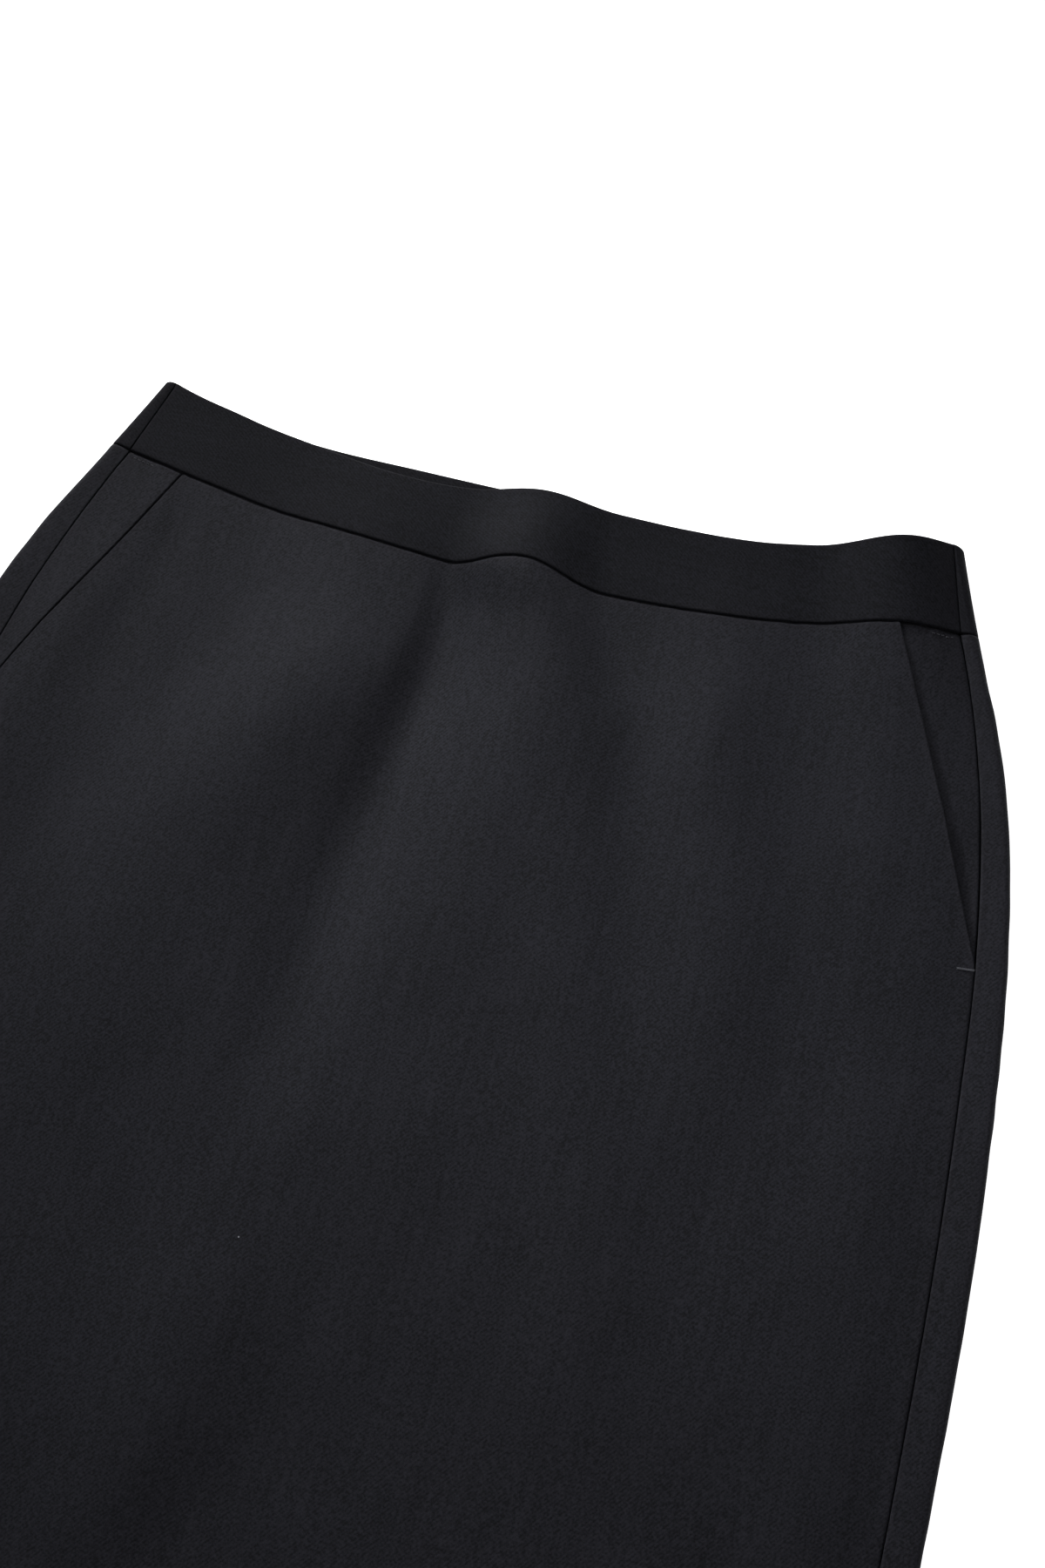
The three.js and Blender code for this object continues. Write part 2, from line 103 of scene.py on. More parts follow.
# Soft folds of the front. Columns: down, across, height, reach
FOLDS = {
    "belly": [
        (-40, 0, 2, 185),
        (15, 0, 0.5, 185),
        (110, 0, 4.5, 190),
        (260, 0, 3.5, 190),
        (420, 0, 1, 190),
        (602, 0, 0, 190),
    ],
    "centre ridge": [
        (-40, 0, 3, 34),
        (-20, 0, 5, 34),
        (18, -1, 13.5, 38),
        (45, 12, 10.5, 39),
        (80, 23, 8, 42),
        (120, 23, 4.8, 46),
        (180, 14, 2.3, 49),
        (260, -1, 0.8, 52),
        (340, -6, -1.2, 56),
        (420, 0, 0, 60),
    ],
    "left bulge": [
        (-30, -75, 0, 50),
        (15, -77, 3.6, 49),
        (50, -75, 5.3, 52),
        (90, -79, 8.8, 57),
        (140, -96, 8.5, 62),
        (190, -112, 6, 66),
        (250, -121, 3.6, 70),
        (320, -122, 1.2, 70),
        (420, -128, 0, 71),
    ],
    "sharp trough": [
        (5, -30, 0, 16),
        (25, -31, -1.7, 16),
        (50, -27, -4, 16.5),
        (85, -28, -5, 21),
        (125, -32, -3.2, 21),
        (180, -39, -3.2, 25),
        (240, -43, -2.4, 27),
        (310, -48, 0, 28),
    ],
    "left slope": [
        (5, -151, 0, 13),
        (40, -155, -1.1, 14),
        (80, -159, -1.3, 16),
        (130, -160, 0, 18),
    ],
    "right trough": [
        (8, 44, 0, 19),
        (50, 47, -0.8, 21),
        (110, 48, 1, 26),
        (180, 58, 1.3, 29),
        (250, 76, 1, 30),
        (330, 92, 0, 33),
    ],
    "right bulge": [
        (-10, 90, 0, 38),
        (30, 91, 2.1, 36),
        (70, 95, 4.1, 34),
        (120, 105, 3.1, 35),
        (200, 112, 0.8, 42),
        (320, 110, 0, 49),
    ],
    "middle right": [
        (30, 120, 0, 24),
        (90, 127, 1, 29),
        (170, 129, 1.1, 34),
        (250, 125, -0.5, 35),
        (330, 120, 0, 35),
    ],
    "raised right end": [
        (-45, 153, 13, 36),
        (0, 160.5, 8.7, 39),
        (50, 169, 3.7, 39),
        (120, 173, 2.3, 44),
        (200, 175, 0, 43),
    ],
    "flat top left": [
        (-40, -65, -4, 95),
        (-15, -65, -1.5, 95),
        (10, -65, 0, 95),
    ],
    "flat top right": [
        (-40, 62, -3, 60),
        (-15, 62, -1, 60),
        (10, 62, 0, 60),
    ],
    "left pocket ridge": [
        (40, -180, 0, 26),
        (110, -188, 2.6, 26),
        (170, -189, 1.5, 27),
        (260, -190, 0, 27),
    ],
    "right side": [
        (180, 181, 0, 24),
        (240, 187, 1, 26),
        (300, 187, 0.6, 27),
        (370, 188, 1.1, 27),
        (440, 185, 0, 25),
    ],
    "lower centre": [
        (220, 14, 0, 30),
        (280, 19, 1.3, 30),
        (340, 17, 0.1, 32),
        (400, 14, -1, 35),
        (480, 12, 0, 36),
    ],
    "lower left": [
        (260, -36, 0, 35),
        (310, -39, 0.5, 41),
        (350, -41, 3.6, 44),
        (390, -45, 4.7, 44),
        (430, -57, 3.8, 39),
        (480, -63, 2.3, 44),
        (540, -70, 1.5, 50),
        (602, -75, 1.5, 50),
    ],
    "left flank": [
        (250, -112, 0, 34),
        (310, -103, -0.8, 38),
        (370, -94, 2.8, 40),
        (430, -95, 2.6, 40),
        (500, -100, 0, 40),
    ],
    "lower right": [
        (260, 92, 0, 33),
        (320, 95, 1.3, 33),
        (380, 97, 0.7, 35),
        (450, 99, 0.6, 36),
        (540, 98, 1, 40),
        (602, 98, 1, 44),
    ],
    "hem wave": [
        (420, 140, 0, 50),
        (520, 140, 2, 55),
        (602, 142, 3, 55),
    ],
}

# Where the waist seam and the top edge are drawn along Y.
# Columns: across, reach, at the top edge, at the seam, also on the back
DRIFTS = [
    (0, 30, 1, 3, False),
    (142, 58, 3.3, 2, True),
    (95, 60, 0, -1, False),
    (-58, 60, -4.8, 0, False),
    (-85, 90, 0, -2.5, False),
    (-112, 60, -1.5, 0, True),
    (-172, 36, -1.6, 0, True),
]
DRIFT_FADE = 120

# The size that each piece of cloth was cut to, seams left off, in metres.
# Columns: width, length, area where the cut isn't a rectangle
CUTS = {
    "front": (0.445, 0.602, 0.252),
    "hip": (0.085, 0.166, 0.0058),
    "back": (0.262, 0.640, 0.157),
    "front band": (0.374, 0.042, None),
    "back band": (0.205, 0.042, None),
}

rng = np.random.default_rng(11)


def sided(stem, side):
    """A piece's name, from the side that it is on: -1 is left, 1 is right."""
    return f"{stem}_right" if side > 0 else f"{stem}_left"


def ease(share):
    share = np.clip(share, 0, 1)
    return share * share * (3 - 2 * share)


def mix(a, b, share):
    return a + (b - a) * share


def bump(distance, reach):
    inside = np.abs(distance) < reach
    return np.where(inside, np.cos(math.pi / 2 * np.clip(distance / reach, -1, 1)) ** 2, 0)


def along(table, down, column):
    """Reads one column of a table of stations, on a smooth curve through its rows."""
    rows = np.array(table, float)
    at, values = rows[:, 0], rows[:, column]
    last = len(at) - 1
    order = np.arange(last + 1)
    before, after = np.maximum(order - 1, 0), np.minimum(order + 1, last)
    slopes = (values[after] - values[before]) / (at[after] - at[before])
    place = np.clip(down, at[0], at[-1])
    i = np.clip(np.searchsorted(at, place) - 1, 0, last - 1)
    step = at[i + 1] - at[i]
    t = (place - at[i]) / step
    return (
        values[i] * (2 * t**3 - 3 * t**2 + 1)
        + values[i + 1] * (3 * t**2 - 2 * t**3)
        + slopes[i] * step * (t**3 - 2 * t**2 + t)
        + slopes[i + 1] * step * (t**3 - t**2)
    )


def edge_at(down):
    return along(SIDES, down, 1)


def seam_at(down):
    return along(SIDES, down, 2)


def shift_at(down):
    """How far the front and its seams lie to the right of the middle."""
    return FRONT_SHIFT * ease((down + BAND_RISE) / SHIFT_REACH)


def front_half_width(down):
    slant = mix(POCKET_TOP, float(seam_at(POCKET_END)), down / POCKET_END)
    return np.where(down < POCKET_END, slant, seam_at(down) - SEAM_GAP / 2)


def front_height(x, y):
    """Height of the front's outer face, without its fine relief."""
    down = WAIST_Y - y
    height = np.full(np.shape(x), float(LOFT))
    for stations in FOLDS.values():
        inside = (down >= stations[0][0]) & (down <= stations[-1][0] + FOLD_OVERRUN)
        crest = bump(x - along(stations, down, 1), along(stations, down, 3))
        height = height + np.where(inside, along(stations, down, 2) * crest, 0)
    from_seam = np.maximum(seam_at(down) - np.abs(x - shift_at(down)), 0)
    sink = ease(1 - from_seam / SEAM_SINK_REACH)
    return height - SEAM_SINK * sink * np.clip(down / POCKET_END, 0, 1)


def drift(x, down, share, on_back):
    fade = np.clip(1 - down / DRIFT_FADE, 0, 1)
    total = 0
    for across, reach, at_top, at_seam, also_back in DRIFTS:
        if also_back or not on_back:
            total = total + mix(at_seam, at_top, share) * bump(x - across, reach) * fade
    return total


def row_y(x, down, dip, on_back):
    cup = np.maximum(1 - (x / edge_at(0)) ** 2, 0)
    fade = 1 - down / HEM_DOWN
    hem = HEM_LIFT * (x / edge_at(HEM_DOWN)) ** 2 * (1 - fade)
    return WAIST_Y - down - dip * cup * fade + hem + drift(x, down, 0, on_back)


def top_y(x, dip, on_back):
    across = np.minimum(np.abs(x) / seam_at(-BAND_RISE), 1)
    return WAIST_Y + BAND_RISE - dip * (1 - across**TOP_CURVE_POWER) + drift(x, 0, 1, on_back)


# Fine relief that only shows close up


def rounding(distance, radius):
    """How far a turned edge drops, on a quarter round, at a distance from the edge."""
    inward = radius - np.clip(distance, 0, radius)
    return radius - np.sqrt(np.maximum(radius**2 - inward**2, 0))


WAVES = 14
WAVE_SPREAD = (0.6, 1.5)  # the waves' frequencies, as shares of the stated one


class Noise:
    """Smooth seeded noise, about -1 to 1: waves of about one size in many directions."""

    def __init__(self, size_x, size_y):
        angles = rng.uniform(0, 2 * math.pi, WAVES)
        scale = rng.uniform(*WAVE_SPREAD, WAVES) * 2 * math.pi
        self.kx = np.cos(angles) * scale / size_x
        self.ky = np.sin(angles) * scale / size_y
        self.phase = rng.uniform(0, 2 * math.pi, WAVES)

    def __call__(self, x, y):
        total = 0
        for kx, ky, phase in zip(self.kx, self.ky, self.phase):
            total = total + np.sin(kx * x + ky * y + phase)
        return total / math.sqrt(WAVES / 2) / 2


# Sizes of the waves, across and down
slackness = Noise(70, 120)
rumple = Noise(26, 44)
pucker = Noise(9, 60)
side_pucker = Noise(60, 17)

SLACK_HEIGHT = 0.35
RUMPLE_HEIGHT = 0.12
WAIST_PUCKER_HEIGHT = 0.3
WAIST_PUCKER_REACH = 9
SIDE_PUCKER_HEIGHT = 0.16
SIDE_PUCKER_REACH = 8
CALM_WAIST = 40  # the slackness comes in over this much below the waist seam
CALM_SIDE = 30  # and over this much from a side seam


def relief(x, y, down):
    """The hand of pressed cloth: a faint slackness, and puckers where it is sewn."""
    at_waist = np.exp(-np.maximum(down, 0) / WAIST_PUCKER_REACH)
    from_side = np.maximum(seam_at(down) - np.abs(x - shift_at(down)), 0)
    below_waist = ease(np.maximum(down, 0) / CALM_WAIST)
    at_side = np.exp(-from_side / SIDE_PUCKER_REACH) * below_waist
    calm = below_waist * ease(from_side / CALM_SIDE)
    return (
        calm * (SLACK_HEIGHT * slackness(x, y) + RUMPLE_HEIGHT * rumple(x, y))
        + WAIST_PUCKER_HEIGHT * at_waist * pucker(x, y)
        + SIDE_PUCKER_HEIGHT * at_side * side_pucker(x, y)
    )


# Meshes


def wall_piece(name, outer, inner):
    """A closed wall between two grids of points, row by row, with a rim round them."""
    rows, columns = outer.shape[:2]
    points = np.concatenate([outer.reshape(-1, 3), inner.reshape(-1, 3)]) * MM
    index = np.arange(rows * columns).reshape(rows, columns)
    under = index + rows * columns

    def quads(a, b, c, d):
        return np.stack([a.ravel(), b.ravel(), c.ravel(), d.ravel()], 1)

    faces = [
        quads(index[:-1, :-1], index[1:, :-1], index[1:, 1:], index[:-1, 1:]),
        quads(under[:-1, :-1], under[:-1, 1:], under[1:, 1:], under[1:, :-1]),
        quads(index[:-1, 0], under[:-1, 0], under[1:, 0], index[1:, 0]),
        quads(index[:-1, -1], index[1:, -1], under[1:, -1], under[:-1, -1]),
        quads(index[0, :-1], index[0, 1:], under[0, 1:], under[0, :-1]),
        quads(index[-1, :-1], under[-1, :-1], under[-1, 1:], index[-1, 1:]),
    ]
    faces = np.concatenate(faces)
    corner = points[faces]
    volume = np.einsum("ij,ij->", corner[:, 0], np.cross(corner[:, 1], corner[:, 2]))
    volume += np.einsum("ij,ij->", corner[:, 0], np.cross(corner[:, 2], corner[:, 3]))
    if volume < 0:
        faces = faces[:, ::-1]
    return mesh_piece(name, points.tolist(), faces.tolist())


def mesh_piece(name, points, faces):
    mesh = bpy.data.meshes.new(name)
    mesh.from_pydata(points, [], faces)
    mesh.shade_smooth()
    mesh.update()
    piece = bpy.data.objects.new(name, mesh)
    bpy.context.scene.collection.objects.link(piece)
    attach(piece, "root")
    return piece


# Where the grids' lines lie close together, from an edge inwards
RIM_INSETS = np.array([0, 0.15, 0.35, 0.6, 0.9, 1.3, 1.8, 2.5, 3.5, 5, 7, 9.5, 12, 15, 18, 21])
WAIST_INSETS = np.array([0, 0.15, 0.35, 0.6, 0.9, 1.3, 1.8, 2.5, 3.4, 4.6, 6, 8, 10])
HEM_INSETS = RIM_INSETS[:10]
EVEN_FROM = 12  # from here down the rows are evenly apart
EVEN_SHORT = 8  # until this far above the lower edge
FRONT_COLUMN = 2.6
FRONT_ROW = 3
HIP_ROW = 2.5
BACK_ROW = 4
BAND_COLUMN = 2.2


def columns_across(half_width, pitch):
    """Columns from edge to edge, close together at the edges."""
    inner = half_width - YOKE_UNDERLAP
    count = int(round(2 * (POCKET_TOP - YOKE_UNDERLAP) / pitch))
    middle = mix(-inner, inner, np.linspace(0, 1, count + 1)[None, :])
    right = half_width - RIM_INSETS[::-1][None, :]
    return np.concatenate([-right[:, ::-1], middle, right], axis=1)


def rows_down(pitch, end):
    """Rows from the waist seam to a lower edge, close together at both."""
    even = np.arange(EVEN_FROM, end - EVEN_SHORT, pitch)
    return np.concatenate([WAIST_INSETS, even, end - HEM_INSETS[::-1]])


def lower(grid, depth):
    inner = grid.copy()
    inner[..., 2] -= depth
    return inner


WAIST_TURN = 1.5  # radius of the cloth that dives into the waist seam
WAIST_DIVE = 0.85
WAIST_TUCK = 1.3  # the cloth runs on under the waistband by this
TUCK_DROP = 0.2
TUCK_NARROWING = 0.996
CLOSED_GAP = 0.04  # what is left open in the back's waist seam
SEAM_TURN = 0.9
SEAM_DIVE = 0.5
DEEP_SEAM_TURN = 1.6  # the right side seam is drawn in deeper
DEEP_SEAM_DIVE = 0.6
SLANT_TURN = 0.7  # the right pocket's folded edge
SLANT_LIFT = 0.42  # pressing has turned that edge up a little
SLANT_LIFT_REACH = 1.5
SHUT_TURN = 0.35  # the left pocket's, which lies shut
SLANT_BLEND = 8  # at the pocket's end its edge turns into the side seam over this
HEM_TURN = 0.95


def tucked(outer, inner):
    """Adds a row that runs on under the waistband and closes the waist seam."""

    def with_tuck(grid):
        row = grid[0] * (TUCK_NARROWING, 1, 1) + (0, WAIST_TUCK, -TUCK_DROP)
        rise = front_height(row[:, 0], row[:, 1]) - front_height(grid[0][:, 0], grid[0][:, 1])
        row[:, 2] += rise
        return np.concatenate([row[None], grid])

    return with_tuck(outer), with_tuck(inner)


def seam_dive(x, inset):
    """How far the front's side drops into a side seam."""
    deep = DEEP_SEAM_DIVE * rounding(inset, DEEP_SEAM_TURN)
    return np.where(x > 0, deep, SEAM_DIVE * rounding(inset, SEAM_TURN))


def front_cloth():
    rows = rows_down(FRONT_ROW, HEM_DOWN)
    half = front_half_width(rows)[:, None]
    columns = columns_across(half, FRONT_COLUMN)
    down = np.broadcast_to(rows[:, None], columns.shape)
    x = columns + shift_at(down)
    y = row_y(x, down, FRONT_DIP, False) - SEAM_GAP / 2 * (down == 0)
    z = front_height(x, y) + relief(x, y, down)
    inset = half - np.abs(columns)
    slant = ease((POCKET_END + SLANT_BLEND / 2 - down) / SLANT_BLEND)
    lift = SLANT_LIFT * np.exp(-inset / SLANT_LIFT_REACH)
    fold = np.where(x > 0, rounding(inset, SLANT_TURN) - lift, rounding(inset, SHUT_TURN))
    side_dive = mix(seam_dive(x, inset), fold, slant)
    z = z - side_dive - WAIST_DIVE * rounding(down, WAIST_TURN)
    z = z + mouth_gape(x, down) * np.exp(-inset / GAPE_REACH)
    wall = np.where(down > HEM_DOWN - HEM_DEPTH, HEM_WALL, CLOTH)
    inner = np.stack([x, y, z - wall], -1)
    hem = rounding(HEM_DOWN - down, HEM_TURN)
    outer = np.stack([x, y, z - hem], -1)
    inner[..., 2] += hem * (wall > CLOTH)
    return wall_piece("front_cloth", *tucked(outer, inner))


GAPE = 1.3  # how far the right pocket's mouth stands open
GAPE_REACH = 9  # how far in from the slant the front is lifted by it
GAPE_PLACE = 0.52  # where it is widest, as a share of the slit's length
GAPE_HALF = 0.5  # half of the stretch that gapes, as a share of it too


def mouth_gape(x, down):
    """The right pocket's mouth stands open a little; the left one lies shut."""
    return np.where(x > 0, GAPE, 0) * bump(down - GAPE_PLACE * POCKET_END, GAPE_HALF * POCKET_END)


HIP_DENT = 0.9  # the right hip piece sags by this where the pocket's mouth is widest
HIP_DENT_DOWN = 96  # the dent's middle
HIP_DENT_ACROSS = 209
HIP_DENT_HALF_LENGTH = 46
HIP_DENT_HALF_WIDTH = 14
LEVEL_RISE = 1.4  # on the left the hip piece comes up level with the front's edge
LEVEL_START = 0.2  # from the slant
LEVEL_REACH = 0.7
LEVEL_FADE = 124  # down the slit, where it starts to sink under the front again
LEVEL_FADE_REACH = 12
HIP_UNDER_COLUMNS = 12
HIP_SHOWN_COLUMNS = 30
HIP_CROWDING = 1.1


def yoke_cloth(side):
    rows = np.concatenate([rows_down(HIP_ROW, YOKE_END)[: -len(HEM_INSETS)], [YOKE_END]])
    seam = seam_at(rows) - SEAM_GAP / 2
    slant = np.minimum(front_half_width(rows), seam - POCKET_LEAST_WIDTH)
    under = slant[:, None] - np.linspace(YOKE_UNDERLAP, 1, HIP_UNDER_COLUMNS)[None, :]
    # columns crowd at both ends, towards the slit and the seam
    crowd = ease(np.linspace(0, 1, HIP_SHOWN_COLUMNS)[None, :]) ** HIP_CROWDING
    shown = mix(slant[:, None], seam[:, None], crowd)
    across = np.concatenate([under, shown], axis=1)
    down = np.broadcast_to(rows[:, None], across.shape)
    x = side * across + shift_at(down)
    y = row_y(x, down, FRONT_DIP, False) - SEAM_GAP / 2 * (down == 0)
    beyond = across - slant[:, None]
    if side > 0:
        rise = YOKE_RISE * ease(beyond / YOKE_RISE_REACH)
    else:
        sunk = ease((down - LEVEL_FADE) / LEVEL_FADE_REACH)
        rise = LEVEL_RISE * ease((beyond - LEVEL_START) / LEVEL_REACH) * (1 - sunk)
    z = front_height(x, y) - YOKE_DROP + rise
    z = z + relief(x, y, down) - seam_dive(x, seam[:, None] - across)
    z = z - WAIST_DIVE * rounding(down, WAIST_TURN)
    if side > 0:
        dent = bump(down - HIP_DENT_DOWN, HIP_DENT_HALF_LENGTH)
        z = z - HIP_DENT * dent * bump(across - HIP_DENT_ACROSS, HIP_DENT_HALF_WIDTH)
    outer = np.stack([x, y, z], -1)
    return wall_piece(sided("hip_cloth", side), *tucked(outer, lower(outer, CLOTH)))


EDGE_WOBBLE = 0.12  # how far the rolled side edge wavers
EDGE_WOBBLE_PLACE = 400  # each side reads its own stretch of the noise
BACK_COLUMNS = 44
BACK_BAND_COLUMNS = 50
ROLL_STEPS = 19
TOP_STEPS = 15
FLAT_CROWDING = 0.9  # the columns close up a little towards the roll
TOP_CROWDING = 1.7  # and more towards the side seam
FACES_UP = 0.2  # a wall that points up by more than this is on top


def back_row(side, down, wall, proud, start, columns):
    """The middle line and outward direction of a back piece's wall, centre back to side seam."""
    seam = float(seam_at(down)) + SEAM_GAP / 2 + side * float(shift_at(down))
    wobble = float(side_pucker(side * EDGE_WOBBLE_PLACE, WAIST_Y - down))
    edge = float(edge_at(down)) + EDGE_WOBBLE * wobble
    at_seam = float(front_height(np.array(side * seam), np.array(WAIST_Y - down))) + proud
    crown = at_seam + (BAND_CROWN if proud else ROLL_CROWN)
    radius = (crown - wall) / 2
    turn = edge - wall / 2 - radius
    flat = np.linspace(0, 1, columns) ** FLAT_CROWDING
    places = [(mix(start, turn, share), wall / 2, 0, -1) for share in flat]
    for angle in np.linspace(-math.pi / 2, math.pi / 2, ROLL_STEPS)[1:]:
        nx, nz = math.cos(angle), math.sin(angle)
        places.append((turn + radius * nx, wall / 2 + radius + radius * nz, nx, nz))
    for share in 1 - (1 - np.linspace(0, 1, TOP_STEPS)[1:]) ** TOP_CROWDING:
        x = mix(turn, seam, share)
        dive = SEAM_DIVE * rounding(x - seam, SEAM_TURN)
        places.append((x, mix(crown, at_seam, float(ease(share))) - wall / 2 - dive, 0, 1))
    return np.array(places)


def back_faces(places, side, wall, y_of):
    """The outer and inner face of one row of a back piece."""

    def shifted(sign):
        half = sign * wall / 2
        x = side * (places[:, 0] + half * places[:, 2])
        return np.stack([x, y_of(side * places[:, 0]), places[:, 1] + half * places[:, 3]], -1)

    return shifted(1), shifted(-1)


def turn_edge(out, into, places, side, depth):
    """Rounds the two faces of a row towards each other by a depth."""
    for face, sign in ((out, -1), (into, 1)):
        face[:, 0] += sign * side * depth * places[:, 2]
        face[:, 2] += sign * depth * places[:, 3]


def back_cloth(side):
    outer, inner = [], []
    for down in rows_down(BACK_ROW, HEM_DOWN):
        wall = HEM_WALL if down > HEM_DOWN - HEM_DEPTH else CLOTH
        opened = SLIT_WIDTH * float(ease((down - HEM_DOWN + SLIT_LENGTH) / SLIT_LENGTH))
        gap = CLOSED_GAP / 2 if down == 0 else 0

        def y_of(x):
            return row_y(x, down, BACK_DIP, True) - gap

        places = back_row(side, down, wall, 0, (SEAM_GAP + opened) / 2, BACK_COLUMNS)
        over = places[:, 3] > FACES_UP
        dive = WAIST_DIVE * float(rounding(down, WAIST_TURN)) * over * places[:, 3]
        places[:, 1] -= dive
        out, into = back_faces(places, side, wall, y_of)
        turn_edge(out, into, places, side, float(rounding(HEM_DOWN - down, HEM_TURN)))
        outer.append(out)
        inner.append(into)
    return wall_piece(sided("back_cloth", side), np.array(outer), np.array(inner))


BAND_TURN = 0.85  # radius of the waistband's folded edges
BAND_ROWS = np.array(
    [0, 0.006, 0.014, 0.024, 0.04, 0.07, 0.11, 0.16, 0.22, 0.29, 0.36, 0.43, 0.5]
)
BAND_SHARES = np.concatenate([BAND_ROWS, 1 - BAND_ROWS[-2::-1]])
BAND_PUCKER_HEIGHT = 0.26
BAND_PUCKER_REACH = 7
BAND_RUMPLE_HEIGHT = 0.1
BAND_RUMPLE_START = 12  # it comes in over this much above the waist seam


def band_turn(share):
    """Both long edges of the waistband are folds: its two faces round towards each other."""
    along_y = share * BAND_RISE
    return rounding(along_y, BAND_TURN) + rounding(BAND_RISE - along_y, BAND_TURN)


def band_relief(x, y, share):
    """Puckers along the waist seam, and a faint rumple over the rest of the band."""
    from_seam = share * BAND_RISE
    drawn = BAND_PUCKER_HEIGHT * np.exp(-from_seam / BAND_PUCKER_REACH) * pucker(x, y)
    return drawn + BAND_RUMPLE_HEIGHT * ease(from_seam / BAND_RUMPLE_START) * rumple(x, y)


def front_band():
    seam = float(seam_at(0)) - SEAM_GAP / 2
    columns = columns_across(np.array([[seam]]), BAND_COLUMN)[0]
    narrowing = (float(seam_at(-BAND_RISE)) - SEAM_GAP / 2) / seam
    share = BAND_SHARES[:, None]
    low, high = columns + shift_at(0), columns * narrowing + shift_at(-BAND_RISE)
    x = mix(low, high, share)
    low_y = row_y(low, 0, FRONT_DIP, False) + SEAM_GAP / 2
    y = mix(low_y, top_y(high, FRONT_TOP_DIP, False), share)
    z = front_height(x, y) + BAND_PROUD + band_relief(x, y, share)
    inset = (seam - np.abs(columns)) * mix(1, narrowing, share)
    side_dive = SEAM_DIVE * rounding(inset, SEAM_TURN)
    turn = band_turn(share)
    outer = np.stack([x, y, z - turn - side_dive], -1)
    inner = np.stack([x, y, z - BAND_WALL + turn], -1)
    return wall_piece("front_band", outer, inner)


def back_band(side):
    low_row, high_row = (
        back_row(side, down, BAND_WALL, BAND_PROUD, SEAM_GAP / 2, BACK_BAND_COLUMNS)
        for down in (0, -BAND_RISE)
    )
    outer, inner = [], []
    for share in BAND_SHARES:
        places = mix(low_row, high_row, share)

        def y_of(x):
            low = row_y(x, 0, BACK_DIP, True) + CLOSED_GAP / 2
            return mix(low, top_y(x, BACK_TOP_DIP, True), share)

        out, into = back_faces(places, side, BAND_WALL, y_of)
        turn_edge(out, into, places, side, float(band_turn(share)))
        outer.append(out)
        inner.append(into)
    return wall_piece(sided("back_band", side), np.array(outer), np.array(inner))


def front_point(x, down, rise):
    """A point over the front's cloth, from its place across and down."""
    y = float(row_y(np.array(x), down, FRONT_DIP, False))
    z = float(front_height(np.array(x), np.array(y)) + relief(np.array(x), np.array(y), down))
    return Vector((x, y, z + rise))


THREAD_SIDES = 6


def thread_tube(path, radius):
    """Points and faces of a thread along a path, closed at both ends."""
    points, faces = [], []
    for i, at in enumerate(path):
        ahead = path[min(i + 1, len(path) - 1)] - path[max(i - 1, 0)]
        turn = ahead.to_track_quat("Z", "Y").to_matrix()
        for k in range(THREAD_SIDES):
            angle = 2 * math.pi * k / THREAD_SIDES
            rim = Vector((math.cos(angle), math.sin(angle), 0)) * radius
            points.append(at + turn @ rim)
    for i in range(len(path) - 1):
        for k in range(THREAD_SIDES):
            a, b = i * THREAD_SIDES + k, i * THREAD_SIDES + (k + 1) % THREAD_SIDES
            faces.append((a, b, b + THREAD_SIDES, a + THREAD_SIDES))
    faces.append(tuple(range(THREAD_SIDES))[::-1])
    faces.append(tuple(range(len(points) - THREAD_SIDES, len(points))))
    return points, faces


def threads(name, paths, radius):
    """One piece of sewing thread along several paths."""
    points, faces = [], []
    for path in paths:
        more_points, more_faces = thread_tube(path, radius)
        faces += [tuple(len(points) + i for i in face) for face in more_faces]
        points += more_points
    return mesh_piece(name, [tuple(p * MM) for p in points], faces)


TACK_LENGTH = 7
TACK_HALF_WIDTH = 0.42
TACK_HALF_HEIGHT = 0.3
TACK_RISE = 0.12  # its middle line lies this far over the cloth
TACK_THREAD = 0.13
TACK_TURNS = 22
TACK_STEPS = 8  # to a turn
TACK_INSET = 0.4  # from the side seam
TACK_BELOW = 1.2  # under the slit's end
TACK_SLOPE = 0.12


def bar_tack(side):
    """A short bar of close zigzag thread that holds the lower end of a pocket's mouth."""
    start = float(seam_at(POCKET_END)) - TACK_INSET
    path = []
    steps = TACK_TURNS * TACK_STEPS
    for i in range(steps + 1):
        share = i / steps
        angle = 2 * math.pi * TACK_TURNS * share
        along_bar = share * TACK_LENGTH
        x = side * (start - along_bar) + float(shift_at(POCKET_END))
        base = front_point(x, POCKET_END + TACK_BELOW + TACK_SLOPE * along_bar, TACK_RISE)
        wide, high = math.cos(angle) * TACK_HALF_WIDTH, math.sin(angle) * TACK_HALF_HEIGHT
        path.append(base + Vector((0, wide, high)))
    return threads(sided("bar_tack", side), [path], TACK_THREAD)


CORNER_STITCHES = 5
CORNER_STITCH = 1.1
CORNER_PITCH = 2.1
CORNER_INSET = 4  # from the side seam, measured this far down as well
CORNER_DOWN = 2.6
CORNER_STAGGER = 0.15
CORNER_SUNK = 0.02  # the ends of a stitch lie this far into the cloth
CORNER_ARCH = 0.22
CORNER_THREAD = 0.17
CORNER_STEPS = 7


